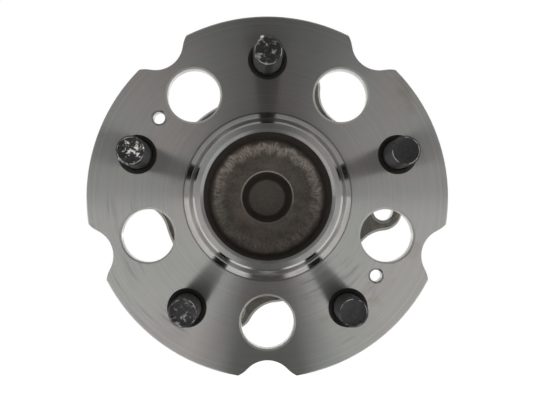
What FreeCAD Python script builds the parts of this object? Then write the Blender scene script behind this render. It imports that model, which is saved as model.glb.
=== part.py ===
import FreeCAD, Part
import math
import os

# Wheel hub bearing for a wheel that isn't driven: a double-row ball bearing
# whose outer ring bolts to the knuckle and whose inner part is the wheel
# flange. Lengths are millimetres. The bearing's axis is Y and +Y points
# inboard, to the knuckle. +Z is up. The origin is on the axis, in the plane
# where the outer ring's ears seat on the knuckle. Angles are seen from
# outboard, from +X towards +Z.

# Places along the axis
bearing_middle_y = -10.0
ear_front_y = -12.0
ear_parting_y = -5.0

# Balls and races
ball_radius = 6.35
ball_circle = 62.0
least_ball_gap = 2.2
row_spacing = 24.0
contact_angle = 40.0
outer_conformity = 1.04
inner_conformity = 1.03
running_gap = 0.05
race_lip = 0.2
inner_shoulder_inset = 2.7
outer_shoulder_outset = 3.4

# Ball cages
cage_inset = 1.7
cage_outset = 2.3
cage_pocket_gap = 0.15
cage_base = 1.1
cage_horn = 2.4
cage_scallop_radius = 0.8
cage_seal_gap = 0.2
cage_land_gap = 0.8

# Outer ring
ring_overhang = 12.0
end_seat_step = 0.74
end_seat_chamfer = 0.5
body_wall = 4.4
body_chamfer = 0.8
body_fillet = 1.6
spigot_step = 0.4
spigot_chamfer = 1.2

# Ears of the outer ring, four on a rectangle that is turned about the axis
ear_spacing_long = 80.0
ear_spacing_short = 66.0
ear_pattern_angle = 33.5
ear_radius = 8.9
ear_flank_radius = 14.0
ear_web_width = 4.0
ear_draft = 1.3
knuckle_hole_radius = 4.4
knuckle_hole_front_chamfer = 1.3
knuckle_hole_back_chamfer = 0.6

# Wheel studs
wheel_bolt_count = 5
wheel_bolt_circle = 114.3
first_stud_angle = 90.0
stud_radius = 6.0
stud_projection = 32.0
stud_tip_chamfer = 1.1
stud_tip_length = 1.2
stud_thread_pitch = 1.5
stud_thread_depth = 0.92
stud_plain_length = 3.0
stud_neck_step = 0.35
stud_neck_taper = 0.5
stud_head_rim = 3.15
stud_head_height = 4.5
stud_head_round = 0.8
stud_hole_chamfer = 1.9

# Wheel flange
flange_gap = 2.0
flange_thickness = 10.0
rim_width = 18.35
rim_chamfer_front = 0.5
rim_chamfer_back = 1.0

# Access holes in the flange, between the studs
access_hole_radius = 11.1
access_hole_inset = 4.75
access_hole_chamfer = 0.8

# Notches in the rim, in line with the access holes
notch_depth = 7.4
notch_floor_radius = 11.5
notch_lip_radius = 13.0
notch_turn = 46.5
notch_lip_end = 8.0

# Threaded holes for the brake disc's two holding screws
disc_screw_inset = 1.15
disc_screw_hole_radius = 2.5
disc_screw_chamfer = 0.8
disc_screw_angles = (144.0, 324.0)

# Pilot for the wheel, the low step for the brake disc and the recess inside
pilot_height = 14.5
pilot_radius = 32.05
pilot_taper = 1.45
pilot_top_chamfer = 0.8
pilot_straight = 4.5
pilot_rim_width = 4.3
disc_step_width = 2.65
disc_step_height = 4.8
disc_step_chamfer = 2.05
face_groove_width = 0.7
face_groove_depth = 0.4
recess_mouth_chamfer = 1.35
recess_taper = 2.0
recess_depth_below_face = 8.0
recess_fillet = 4.5
pocket_mouth_radius = 10.6
pocket_taper = 2.6
pocket_depth = 20.0
pocket_fillet = 1.0

# Spindle, the inner ring on it and the lip that is rolled over the ring
spindle_seat_radius = 18.5
inner_ring_front_reach = 10.0
inner_ring_back_reach = 10.5
inner_ring_chamfer = 0.8
rolled_lip_width = 6.7
rolled_lip_thickness = 6.0
rolled_lip_round = 2.4
spindle_dimple_wall = 4.0
spindle_dimple_taper = 3.5
spindle_dimple_depth = 14.5

# Sheet parts and seals
sheet = 0.8
seal_land_step = 1.2
seal_root_fillet = 2.0
seal_case_gap = 2.1
seal_rubber = 1.0
lip_clearance = 0.25
lip_thickness = 0.7
outer_lip_inset = 1.0
outer_lip_spread = 1.6
inner_lip_outset = 0.6
inner_lip_spread = 0.8

# Encoder for the wheel-speed sensor
encoder_gap = 0.4
slinger_seat_length = 2.6
slinger_recess = 0.3
magnet_width = 6.3
magnet_thickness = 1.0

# Dust cap
cap_grip = 5.0
cap_end_gap = 0.6
cap_corner = 1.6
cap_encoder_gap = 0.5
cap_lip_gap = 2.7
cap_dome_clearance = 1.2
cap_dome_draft = 1.0
cap_dome_round = 2.2

# Clearance for cutting tools past the surface that they leave
past = 1.0

# What follows from the sizes above: first the bearing's inside
centre = FreeCAD.Vector(0, 0, 0)
inboard = FreeCAD.Vector(0, 1, 0)
outboard = FreeCAD.Vector(0, -1, 0)
full_turn = 360.0
least_edge = 1e-6
row_radius = ball_circle / 2
balls_per_row = int(math.pi * ball_circle / (2 * ball_radius + least_ball_gap))
ball_pitch = full_turn / balls_per_row
front_row_y = bearing_middle_y - row_spacing / 2
back_row_y = bearing_middle_y + row_spacing / 2
contact_out = math.cos(math.radians(contact_angle))
contact_along = math.sin(math.radians(contact_angle))
outer_groove_radius = outer_conformity * ball_radius + running_gap
inner_groove_radius = inner_conformity * ball_radius + running_gap
outer_groove_shift = (outer_conformity - 1) * ball_radius
inner_groove_shift = (inner_conformity - 1) * ball_radius
open_bore_radius = row_radius - outer_groove_shift * contact_out + outer_groove_radius - race_lip
open_land_radius = row_radius + inner_groove_shift * contact_out - inner_groove_radius + race_lip
inner_shoulder_radius = row_radius - inner_shoulder_inset
outer_shoulder_radius = row_radius + outer_shoulder_outset
cage_inner_radius = row_radius - cage_inset
cage_outer_radius = row_radius + cage_outset
cage_back = ball_radius + cage_pocket_gap + cage_base

# The outer ring and its ears
outer_ring_front_y = front_row_y - ring_overhang
outer_ring_back_y = back_row_y + ring_overhang
front_seat_depth = ring_overhang - cage_back - cage_seal_gap
back_seat_depth = cap_grip + cap_end_gap
end_seat_radius = open_bore_radius + end_seat_step
body_radius = end_seat_radius + body_wall
spigot_radius = body_radius - spigot_step
ear_web_radius = body_radius + ear_web_width
ear_circle_radius = math.hypot(ear_spacing_long, ear_spacing_short) / 2
ear_half_angle = math.degrees(math.atan2(ear_spacing_short, ear_spacing_long))

# The flange, its holes and the pilot
flange_back_y = outer_ring_front_y - flange_gap
wheel_face_y = flange_back_y - flange_thickness
wheel_pitch = full_turn / wheel_bolt_count
stud_circle_radius = wheel_bolt_circle / 2
stud_angles = [first_stud_angle + wheel_pitch * i for i in range(wheel_bolt_count)]
access_hole_angles = [angle + wheel_pitch / 2 for angle in stud_angles]
stud_hole_radius = stud_radius + stud_neck_step
flange_radius = stud_circle_radius + rim_width
access_circle_radius = stud_circle_radius - access_hole_inset
disc_screw_circle_radius = stud_circle_radius - disc_screw_inset
disc_step_radius = pilot_radius + disc_step_width
pilot_top_radius = pilot_radius - pilot_taper
pilot_top_y = wheel_face_y - pilot_height
recess_mouth_radius = pilot_top_radius - pilot_rim_width
recess_floor_radius = recess_mouth_radius - recess_taper
recess_floor_y = wheel_face_y + recess_depth_below_face

# The spindle, the inner ring, the seal, the encoder and the cap
inner_ring_front_y = back_row_y - inner_ring_front_reach
inner_ring_back_y = back_row_y + inner_ring_back_reach
rolled_lip_radius = spindle_seat_radius + rolled_lip_width
rolled_lip_top_y = inner_ring_back_y + rolled_lip_thickness
spindle_dimple_radius = spindle_seat_radius - spindle_dimple_wall
seal_land_radius = inner_shoulder_radius + seal_land_step
seal_land_end_y = front_row_y - cage_back - cage_land_gap
seal_case_inner_radius = seal_land_radius + seal_case_gap
seal_disc_y = outer_ring_front_y + front_seat_depth - sheet
encoder_radius = end_seat_radius - sheet - encoder_gap
slinger_back_y = inner_ring_back_y - slinger_recess
slinger_front_y = slinger_back_y - slinger_seat_length
encoder_face_y = slinger_back_y + magnet_thickness
cap_flat_y = encoder_face_y + cap_encoder_gap
cap_top_y = rolled_lip_top_y + cap_lip_gap + sheet


def polar(radius, angle, y=0.0):
    turn = math.radians(angle)
    return FreeCAD.Vector(radius * math.cos(turn), y, radius * math.sin(turn))


# A closed wire in the plane of X and Y. A corner is (x, y) or (x, y, rounding).
# A rounding ends at the middle of a side that is rounded at both ends, and at
# the far corner of one that isn't.
def closed_outline(corners):
    places = [FreeCAD.Vector(corner[0], corner[1], 0) for corner in corners]
    roundings = [corner[2] if len(corner) > 2 else 0 for corner in corners]
    entries = []
    exits = []
    arcs = []
    for i, here in enumerate(places):
        following = (i + 1) % len(places)
        before = places[i - 1] - here
        after = places[following] - here
        if roundings[i] == 0:
            entries.append(here)
            exits.append(here)
            arcs.append(None)
            continue
        room = min(before.Length / (2 if roundings[i - 1] else 1),
                   after.Length / (2 if roundings[following] else 1))
        half = before.getAngle(after) / 2
        reach = min(roundings[i] / math.tan(half), room)
        rounding = reach * math.tan(half)
        before.normalize()
        after.normalize()
        towards = (before + after).normalize()
        middle = here + towards * (rounding / math.sin(half) - rounding)
        entries.append(here + before * reach)
        exits.append(here + after * reach)
        arcs.append(Part.Arc(entries[i], middle, exits[i]).toShape())
    edges = []
    for i, arc in enumerate(arcs):
        if arc:
            edges.append(arc)
        following = entries[(i + 1) % len(places)]
        if (exits[i] - following).Length > least_edge:
            edges.append(Part.LineSegment(exits[i], following).toShape())
    return Part.Wire(edges)


# The solid of a section (radius, y) turned once around the bearing's axis.
def turned(corners):
    section = Part.Face(closed_outline(corners))
    return section.revolve(centre, inboard, full_turn)


def rod(radius, start, length, direction=inboard):
    return Part.makeCylinder(radius, length, start, direction)


def cone(radius, end_radius, start, length, direction=inboard):
    return Part.makeCone(radius, end_radius, length, start, direction)


# The torus that grinds a race. side is +1 for the row whose outer contact
# lies towards +Y, and -1 for the other.
def groove(row_y, side, shift, radius, outwards):
    out = row_radius - outwards * shift * contact_out
    along = row_y - outwards * side * shift * contact_along
    return Part.makeTorus(out, radius, FreeCAD.Vector(0, along, 0), inboard)


def outer_groove(row_y, side):
    return groove(row_y, side, outer_groove_shift, outer_groove_radius, 1)


def inner_groove(row_y, side):
    return groove(row_y, side, inner_groove_shift, inner_groove_radius, -1)


# A hole through the flange with a chamfer at the wheel face.
def flange_hole(place, radius, chamfer):
    start = FreeCAD.Vector(place.x, wheel_face_y - past, place.z)
    hole = rod(radius, start, flange_thickness + 2 * past)
    mouth = cone(radius + chamfer + past, radius, start, chamfer + past)
    return hole.fuse(mouth)


# One notch in the rim, drawn at the top and turned to its angle: a round
# floor that runs out over two lips to sharp corners on the rim.
def rim_notch(angle):
    turn = math.radians(notch_turn)
    end = math.radians(notch_lip_end)
    floor_z = flange_radius - notch_depth
    floor_centre_z = floor_z + notch_floor_radius
    join_x = notch_floor_radius * math.sin(turn)
    join_z = floor_centre_z - notch_floor_radius * math.cos(turn)
    lip_x = join_x + notch_lip_radius * math.sin(turn)
    lip_z = join_z - notch_lip_radius * math.cos(turn)

    def lip(side, swing):
        return FreeCAD.Vector(side * (lip_x - notch_lip_radius * math.sin(swing)),
                              wheel_face_y - past,
                              lip_z + notch_lip_radius * math.cos(swing))

    y = wheel_face_y - past
    floor = FreeCAD.Vector(0, y, floor_z)
    right = [lip(1, swing) for swing in (turn, (turn + end) / 2, end)]
    left = [lip(-1, swing) for swing in (turn, (turn + end) / 2, end)]
    high_right = FreeCAD.Vector(right[2].x, y, flange_radius + notch_depth)
    high_left = FreeCAD.Vector(left[2].x, y, flange_radius + notch_depth)
    edges = [Part.Arc(left[0], floor, right[0]).toShape(),
             Part.Arc(right[0], right[1], right[2]).toShape(),
             Part.LineSegment(right[2], high_right).toShape(),
             Part.LineSegment(high_right, high_left).toShape(),
             Part.LineSegment(high_left, left[2]).toShape(),
             Part.Arc(left[2], left[1], left[0]).toShape()]
    cutter = Part.Face(Part.Wire(edges)).extrude(inboard * (flange_thickness + 2 * past))
    cutter.rotate(centre, outboard, angle - 90)
    return cutter


# The wheel flange with its pilot, and the spindle behind it: one forging.
def hub_flange():
    step_top_y = wheel_face_y - disc_step_height
    pilot_foot_radius = disc_step_radius - disc_step_chamfer
    section = [
        (0, recess_floor_y + pocket_depth),
        (pocket_mouth_radius - pocket_taper, recess_floor_y + pocket_depth, pocket_fillet),
        (pocket_mouth_radius, recess_floor_y),
        (recess_floor_radius, recess_floor_y, recess_fillet),
        (recess_mouth_radius, pilot_top_y + recess_mouth_chamfer),
        (recess_mouth_radius + recess_mouth_chamfer, pilot_top_y),
        (pilot_top_radius - pilot_top_chamfer, pilot_top_y),
        (pilot_top_radius, pilot_top_y + pilot_top_chamfer),
        (pilot_radius, step_top_y - pilot_straight),
        (pilot_radius, step_top_y),
        (pilot_foot_radius, step_top_y),
        (disc_step_radius, step_top_y + disc_step_chamfer),
        (disc_step_radius, wheel_face_y),
        (disc_step_radius + face_groove_width / 2, wheel_face_y + face_groove_depth),
        (disc_step_radius + face_groove_width, wheel_face_y),
        (flange_radius - rim_chamfer_front, wheel_face_y),
        (flange_radius, wheel_face_y + rim_chamfer_front),
        (flange_radius, flange_back_y - rim_chamfer_back),
        (flange_radius - rim_chamfer_back, flange_back_y),
        (seal_land_radius, flange_back_y, seal_root_fillet),
        (seal_land_radius, seal_land_end_y),
        (inner_shoulder_radius, seal_land_end_y),
        (inner_shoulder_radius, front_row_y),
        (open_land_radius, front_row_y),
        (open_land_radius, inner_ring_front_y),
        (spindle_seat_radius, inner_ring_front_y),
        (spindle_seat_radius, inner_ring_back_y),
        (rolled_lip_radius, inner_ring_back_y),
        (rolled_lip_radius, rolled_lip_top_y, rolled_lip_round),
        (spindle_dimple_radius, rolled_lip_top_y, rolled_lip_round),
        (spindle_dimple_radius - spindle_dimple_taper, rolled_lip_top_y - spindle_dimple_depth,
         rolled_lip_round),
        (0, rolled_lip_top_y - spindle_dimple_depth),
    ]
    hub = turned(section)
    cutters = [inner_groove(front_row_y, 1)]
    for angle in stud_angles:
        place = polar(stud_circle_radius, angle)
        cutters.append(flange_hole(place, stud_hole_radius, stud_hole_chamfer))
    for angle in access_hole_angles:
        place = polar(access_circle_radius, angle)
        cutters.append(flange_hole(place, access_hole_radius, access_hole_chamfer))
        cutters.append(rim_notch(angle))
    for angle in disc_screw_angles:
        place = polar(disc_screw_circle_radius, angle)
        cutters.append(flange_hole(place, disc_screw_hole_radius, disc_screw_chamfer))
    return hub.cut(cutters)


# The outline of a stud's thread as rings at its pitch: flat crest, flank,
# flat root, flank. The rings stop where the tip's chamfer starts.
def thread_outline(radius, start_y, end_y):
    root_radius = radius - stud_thread_depth
    crest = stud_thread_pitch / 8
    root = stud_thread_pitch / 4
    flank = (stud_thread_pitch - crest - root) / 2
    outline = []
    for ring in range(int((start_y - end_y) / stud_thread_pitch)):
        y = start_y - ring * stud_thread_pitch
        outline.append((radius, y))
        outline.append((root_radius, y - flank))
        outline.append((root_radius, y - flank - root))
        outline.append((radius, y - flank - root - flank))
    return outline


# One pressed-in wheel stud: head behind the flange, serrated neck in the
# hole, threaded shank in front.
def wheel_stud(angle):
    tip_y = wheel_face_y - stud_projection
    head_radius = stud_hole_radius + stud_head_rim
    thread = thread_outline(stud_radius, wheel_face_y - stud_plain_length, tip_y + stud_tip_length)
    stud = turned([
        (0, flange_back_y + stud_head_height),
        (head_radius, flange_back_y + stud_head_height, stud_head_round),
        (head_radius, flange_back_y),
        (stud_hole_radius, flange_back_y),
        (stud_hole_radius, wheel_face_y + stud_neck_taper),
        (stud_radius, wheel_face_y),
        *thread,
        (stud_radius, tip_y + stud_tip_length),
        (stud_radius - stud_tip_chamfer, tip_y),
        (0, tip_y),
    ])
    stud.translate(polar(stud_circle_radius, angle))
    return stud


# The ring that is pressed on the spindle and carries the inboard race.
def inner_ring():
    ring = turned([
        (spindle_seat_radius, inner_ring_front_y),
        (open_land_radius, inner_ring_front_y),
        (open_land_radius, back_row_y),
        (inner_shoulder_radius, back_row_y),
        (inner_shoulder_radius, inner_ring_back_y - inner_ring_chamfer),
        (inner_shoulder_radius - inner_ring_chamfer, inner_ring_back_y),
        (spindle_seat_radius, inner_ring_back_y),
    ])
    return ring.cut(inner_groove(back_row_y, -1))


# Outline of the ears and the web between them. Shrinking it moves every
# curve inwards by the same length, so two outlines make a drafted side.
def ear_outline(shrink, y):
    web = ear_web_radius - shrink
    end = ear_radius - shrink
    flank = ear_flank_radius + shrink
    to_flank = web + flank
    ear_to_flank = end + flank
    swing = math.degrees(math.acos(
        (ear_circle_radius ** 2 + to_flank ** 2 - ear_to_flank ** 2) / (2 * ear_circle_radius * to_flank)))
    angles = ear_angles()
    edges = []
    for i, angle in enumerate(angles):
        ear = polar(ear_circle_radius, angle, y)
        sides = []
        for side in (-1, 1):
            flank_centre = polar(to_flank, angle + side * swing, y)
            on_web = polar(web, angle + side * swing, y)
            on_ear = ear + (flank_centre - ear).normalize() * end
            inwards = ((on_web - flank_centre) + (on_ear - flank_centre)).normalize()
            sides.append((on_web, flank_centre + inwards * flank, on_ear))
        edges.append(Part.Arc(*sides[0]).toShape())
        tip = polar(ear_circle_radius + end, angle, y)
        edges.append(Part.Arc(sides[0][2], tip, sides[1][2]).toShape())
        edges.append(Part.Arc(sides[1][2], sides[1][1], sides[1][0]).toShape())
        following = angles[(i + 1) % len(angles)]
        if following < angle:
            following += full_turn
        middle = polar(web, (angle + following) / 2, y)
        edges.append(Part.Arc(sides[1][0], middle, polar(web, following - swing, y)).toShape())
    return Part.Wire(edges)


def ear_angles():
    opposite = full_turn / 2
    return [ear_pattern_angle - ear_half_angle, ear_pattern_angle + ear_half_angle,
            ear_pattern_angle + opposite - ear_half_angle, ear_pattern_angle + opposite + ear_half_angle]


# The outer ring with both outer races, bolted to the knuckle by four ears.
def outer_ring():
    front_seat_end = outer_ring_front_y + front_seat_depth
    back_seat_start = outer_ring_back_y - back_seat_depth
    ring = turned([
        (end_seat_radius + end_seat_chamfer, outer_ring_front_y),
        (body_radius - body_chamfer, outer_ring_front_y),
        (body_radius, outer_ring_front_y + body_chamfer),
        (body_radius, ear_front_y, body_fillet),
        (ear_web_radius - ear_draft - past, ear_front_y),
        (ear_web_radius - ear_draft - past, ear_parting_y),
        (spigot_radius, ear_parting_y),
        (spigot_radius, outer_ring_back_y - spigot_chamfer),
        (spigot_radius - spigot_chamfer, outer_ring_back_y),
        (end_seat_radius + end_seat_chamfer, outer_ring_back_y),
        (end_seat_radius, outer_ring_back_y - end_seat_chamfer),
        (end_seat_radius, back_seat_start),
        (open_bore_radius, back_seat_start),
        (open_bore_radius, back_row_y),
        (outer_shoulder_radius, back_row_y),
        (outer_shoulder_radius, front_row_y),
        (open_bore_radius, front_row_y),
        (open_bore_radius, front_seat_end),
        (end_seat_radius, front_seat_end),
        (end_seat_radius, outer_ring_front_y + end_seat_chamfer),
    ])
    front = ear_outline(ear_draft, ear_front_y)
    parting = ear_outline(0, ear_parting_y)
    back = ear_outline(ear_draft / 2, 0)
    plate = Part.makeLoft([front, parting], True, True).fuse(Part.makeLoft([parting, back], True, True))
    inside = rod(spigot_radius - past, FreeCAD.Vector(0, ear_front_y - past, 0), 2 * past - ear_front_y)
    ring = ring.fuse(plate.cut(inside)).removeSplitter()
    cutters = [outer_groove(front_row_y, 1), outer_groove(back_row_y, -1)]
    for angle in ear_angles():
        cutters.append(knuckle_hole(angle))
    return ring.cut(cutters)


# One threaded hole for a knuckle bolt, chamfered at both ends.
def knuckle_hole(angle):
    start = polar(ear_circle_radius, angle, ear_front_y - past)
    end = polar(ear_circle_radius, angle, past)
    hole = rod(knuckle_hole_radius, start, 2 * past - ear_front_y)
    front_reach = knuckle_hole_front_chamfer + past
    back_reach = knuckle_hole_back_chamfer + past
    front = cone(knuckle_hole_radius + front_reach, knuckle_hole_radius, start, front_reach)
    back = cone(knuckle_hole_radius + back_reach, knuckle_hole_radius, end, back_reach, outboard)
    return hole.fuse([front, back])


# Pressed steel case of the outboard seal.
def seal_case():
    return turned([
        (end_seat_radius, outer_ring_front_y + end_seat_chamfer),
        (end_seat_radius, seal_disc_y + sheet),
        (seal_case_inner_radius, seal_disc_y + sheet),
        (seal_case_inner_radius, seal_disc_y),
        (end_seat_radius - sheet, seal_disc_y),
        (end_seat_radius - sheet, outer_ring_front_y + end_seat_chamfer),
    ])


# Rubber moulded on the case: two lips that wipe the back of the flange and
# one that wipes the land on the hub.
def seal_lips():
    rubber_y = seal_disc_y - seal_rubber
    tip_y = flange_back_y + lip_clearance
    land = seal_land_radius + lip_clearance
    sleeve = seal_case_inner_radius - seal_rubber
    inner_lip_root = seal_case_inner_radius + inner_lip_outset
    inner_lip_tip = inner_lip_root + inner_lip_spread
    outer_lip_tip = end_seat_radius - sheet - outer_lip_inset
    outer_lip_root = outer_lip_tip - outer_lip_spread
    return turned([
        (end_seat_radius - sheet, seal_disc_y),
        (end_seat_radius - sheet, rubber_y),
        (outer_lip_root + lip_thickness, rubber_y),
        (outer_lip_tip, tip_y),
        (outer_lip_tip - lip_thickness, tip_y),
        (outer_lip_root - lip_thickness, rubber_y),
        (inner_lip_root + lip_thickness, rubber_y),
        (inner_lip_tip, tip_y),
        (inner_lip_tip - lip_thickness, tip_y),
        (inner_lip_root - lip_thickness, rubber_y),
        (land + lip_thickness, rubber_y),
        (land, rubber_y - lip_thickness),
        (land, rubber_y + lip_thickness),
        (sleeve, seal_disc_y),
        (sleeve, seal_disc_y + sheet),
        (seal_case_inner_radius, seal_disc_y + sheet),
        (seal_case_inner_radius, seal_disc_y),
    ])


# Steel carrier of the encoder, pressed on the inner ring's shoulder.
def encoder_slinger():
    seat = inner_shoulder_radius
    return turned([
        (seat, slinger_front_y),
        (seat + sheet, slinger_front_y),
        (seat + sheet, slinger_back_y - sheet),
        (encoder_radius, slinger_back_y - sheet),
        (encoder_radius, slinger_back_y),
        (seat, slinger_back_y),
    ])


# Magnetised rubber ring on the carrier, read by the wheel-speed sensor.
def encoder_magnet_ring():
    return turned([
        (encoder_radius - magnet_width, slinger_back_y),
        (encoder_radius, slinger_back_y),
        (encoder_radius, encoder_face_y),
        (encoder_radius - magnet_width, encoder_face_y),
    ])


# Stainless cap pressed in the outer ring's inboard end.
def dust_cap():
    rim_y = outer_ring_back_y - cap_grip
    inside = end_seat_radius - sheet
    foot = rolled_lip_radius + cap_dome_clearance
    top = foot - cap_dome_draft
    outer_round = cap_dome_round + sheet
    return turned([
        (0, cap_top_y),
        (top + sheet, cap_top_y, outer_round),
        (foot + sheet, cap_flat_y + sheet, cap_dome_round - sheet),
        (end_seat_radius, cap_flat_y + sheet, cap_corner),
        (end_seat_radius, rim_y),
        (inside, rim_y),
        (inside, cap_flat_y, cap_corner - sheet),
        (foot, cap_flat_y, cap_dome_round),
        (top, cap_top_y - sheet, cap_dome_round),
        (0, cap_top_y - sheet),
    ])


# The two rows are staggered by half a pitch.
def ball_angles(side):
    first = ball_pitch / 2 - side * ball_pitch / 4
    return [first + ball_pitch * i for i in range(balls_per_row)]


# A sphere at a ball's place. Its poles point along the radius and its seam
# to the middle of the bearing, clear of the cage.
def ball_sphere(radius, row_y, side, angle):
    sphere = Part.makeSphere(radius)
    axes = FreeCAD.Rotation(FreeCAD.Vector(0, side, 0), FreeCAD.Vector(0, 0, side), FreeCAD.Vector(1, 0, 0))
    sphere.Placement = FreeCAD.Placement(FreeCAD.Vector(row_radius, row_y, 0), axes)
    sphere.rotate(centre, outboard, angle)
    return sphere


# Polyamide crown cage: a ring on the row's outer side with horns between
# the balls. side is +1 where the ring lies towards -Y.
def cage(row_y, side):
    back = row_y - side * cage_back
    front = row_y + side * cage_horn
    ring = turned([
        (cage_inner_radius, back),
        (cage_outer_radius, back),
        (cage_outer_radius, front),
        (cage_inner_radius, front),
    ])
    scallop_length = cage_outer_radius - cage_inner_radius + 2 * past
    for angle in ball_angles(side):
        between = angle + ball_pitch / 2
        scallop_start = polar(cage_inner_radius - past, between, front)
        ring = ring.cut(rod(cage_scallop_radius, scallop_start, scallop_length, polar(1, between)))
        ring = ring.cut(ball_sphere(ball_radius + cage_pocket_gap, row_y, side, angle))
    return ring


pieces = {
    "hub_flange": hub_flange(),
    "inner_ring": inner_ring(),
    "encoder_slinger": encoder_slinger(),
    "encoder_magnet_ring": encoder_magnet_ring(),
    "outer_ring": outer_ring(),
    "outboard_seal_case": seal_case(),
    "outboard_seal_lips": seal_lips(),
    "dust_cap": dust_cap(),
    "outboard_cage": cage(front_row_y, 1),
    "inboard_cage": cage(back_row_y, -1),
}
for number, angle in enumerate(stud_angles, start=1):
    pieces["wheel_stud_%d" % number] = wheel_stud(angle)
for row, row_y, side in (("outboard", front_row_y, 1), ("inboard", back_row_y, -1)):
    for number, angle in enumerate(ball_angles(side), start=1):
        pieces["%s_ball_%02d" % (row, number)] = ball_sphere(ball_radius, row_y, side, angle)

os.makedirs("parts", exist_ok=True)
for name, piece in pieces.items():
    piece.exportStep("parts/%s.step" % name)
    print(name, "solids", len(piece.Solids), "valid", piece.isValid(), "volume", round(piece.Volume, 1))
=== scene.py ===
import math

import bmesh
import bpy
import numpy as np
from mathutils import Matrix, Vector


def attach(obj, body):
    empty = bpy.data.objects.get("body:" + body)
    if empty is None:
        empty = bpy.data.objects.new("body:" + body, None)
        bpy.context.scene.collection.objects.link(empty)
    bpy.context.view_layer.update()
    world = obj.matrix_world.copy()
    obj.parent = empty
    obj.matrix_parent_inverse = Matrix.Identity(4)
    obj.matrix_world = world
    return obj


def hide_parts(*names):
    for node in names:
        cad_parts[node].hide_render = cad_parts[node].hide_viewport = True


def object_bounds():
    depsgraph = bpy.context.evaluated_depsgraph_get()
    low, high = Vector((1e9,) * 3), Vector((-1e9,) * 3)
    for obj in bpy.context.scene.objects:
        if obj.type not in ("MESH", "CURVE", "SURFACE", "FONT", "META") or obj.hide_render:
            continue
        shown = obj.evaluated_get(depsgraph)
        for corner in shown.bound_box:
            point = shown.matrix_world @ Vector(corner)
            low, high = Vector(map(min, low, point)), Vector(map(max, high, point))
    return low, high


# Wheel hub bearing seen along its axis from the wheel's side. The axis is Y, the wheel is at -Y and the
# knuckle at +Y, and lengths are metres.

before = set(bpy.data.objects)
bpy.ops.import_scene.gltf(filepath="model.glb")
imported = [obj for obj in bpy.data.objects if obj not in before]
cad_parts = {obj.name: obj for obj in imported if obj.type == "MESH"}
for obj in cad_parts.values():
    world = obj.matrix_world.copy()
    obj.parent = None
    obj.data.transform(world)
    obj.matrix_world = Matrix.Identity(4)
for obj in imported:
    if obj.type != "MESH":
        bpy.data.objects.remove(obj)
cadBox = [list(corner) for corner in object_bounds()]

mm = 0.001
softStep = {"interpolation_type": "SMOOTHSTEP"}


# ---- small tools ----

def linear(hexCode):  # an sRGB hex colour as linear RGBA
    parts = [int(hexCode[i:i + 2], 16) / 255 for i in (1, 3, 5)]
    return [c / 12.92 if c <= 0.04045 else ((c + 0.055) / 1.055) ** 2.4 for c in parts] + [1.0]


def setInputs(tree, node, inputs):  # each input set to a value, or linked from a socket or a node's first one
    for name, value in inputs.items():
        if isinstance(value, bpy.types.Node):
            value = value.outputs[0]
        if isinstance(value, bpy.types.NodeSocket):
            tree.links.new(value, node.inputs[name])
        else:
            node.inputs[name].default_value = value


def addNode(tree, kind, inputs=None, **settings):  # shader kinds are named without their prefix
    node = tree.nodes.new(kind if "Node" in kind else "ShaderNode" + kind)
    for name, value in settings.items():
        setattr(node, name, value)
    setInputs(tree, node, inputs or {})
    return node


def setRamp(node, stops):  # colour stops of a ramp, as position and hex colour or grey level
    elements = node.color_ramp.elements
    while len(elements) < len(stops):
        elements.new(0.5)
    for element, (position, colour) in zip(elements, stops):
        element.position = position
        element.color = linear(colour) if isinstance(colour, str) else [colour] * 3 + [1.0]


def newMaterial(name):  # the material, its nodes, its shader and the place on the object
    material = bpy.data.materials.new(name)
    material.use_nodes = True
    tree = material.node_tree
    shader = next(node for node in tree.nodes if node.type == "BSDF_PRINCIPLED")
    return material, tree, shader, addNode(tree, "TexCoord").outputs["Object"]


def showSurface(tree, source):
    setInputs(tree, next(node for node in tree.nodes if node.type == "OUTPUT_MATERIAL"), {"Surface": source})


def newObject(name, data):
    thing = bpy.data.objects.new(name, data)
    bpy.context.scene.collection.objects.link(thing)
    return thing


def newPiece(name, vertices, faces):
    mesh = bpy.data.meshes.new(name)
    mesh.from_pydata(vertices, [], faces)
    return newObject(name, mesh)


def faceMiddles(mesh):  # each face's middle and outward normal
    middles = np.array([face.center for face in mesh.polygons])
    normals = np.array([face.normal for face in mesh.polygons])
    return middles, normals


def paintFaces(piece, materials, choice):  # one material slot per finish, chosen face by face
    piece.data.materials.clear()
    for material in materials:
        piece.data.materials.append(material)
    piece.data.polygons.foreach_set("material_index", choice.astype(np.int32))
    piece.data.update()


def paintWhole(piece, material):
    paintFaces(piece, [material], np.zeros(len(piece.data.polygons)))


# ---- camera ----

# The lens and place come from the parallax of the stud tips against their feet.
viewpoint = {
    "eye": (-6.0 * mm, -625.0 * mm, -10.4 * mm),
    "aim": (-0.42 * mm, -46.0 * mm, -1.33 * mm),
    "lens": 93.75,
    "sensor": 36.0,
}


def addCamera():
    camera = newObject("camera", bpy.data.cameras.new("camera"))
    camera.data.lens = viewpoint["lens"]
    camera.data.sensor_width = viewpoint["sensor"]
    camera.location = viewpoint["eye"]
    towards = Vector(viewpoint["aim"]) - Vector(viewpoint["eye"])
    camera.rotation_euler = towards.to_track_quat("-Z", "Y").to_euler()
    bpy.context.scene.camera = camera


# ---- studio ----

studio = {
    "floorBelowRim": 25 * mm,
    "floorHalf": 5.0,
    "floorColour": "#f4f3f1",
    "nearWhite": 0.88,        # how much of the floor's white near the object doesn't depend on the light
    "whiteEnds": (0.25, 1.2),  # from the first distance to the second that grows to all of it
    "worldGrey": 0.75,
    "lampSize": 1.2,
    "lamps": (((-1.2, -0.1, 0.6), 4.5), ((1.2, -0.1, 0.6), 6.0), ((0.0, 0.9, 1.3), 12.0),
              ((0.3, 1.5, 0.5), 7.0)),
}


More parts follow.
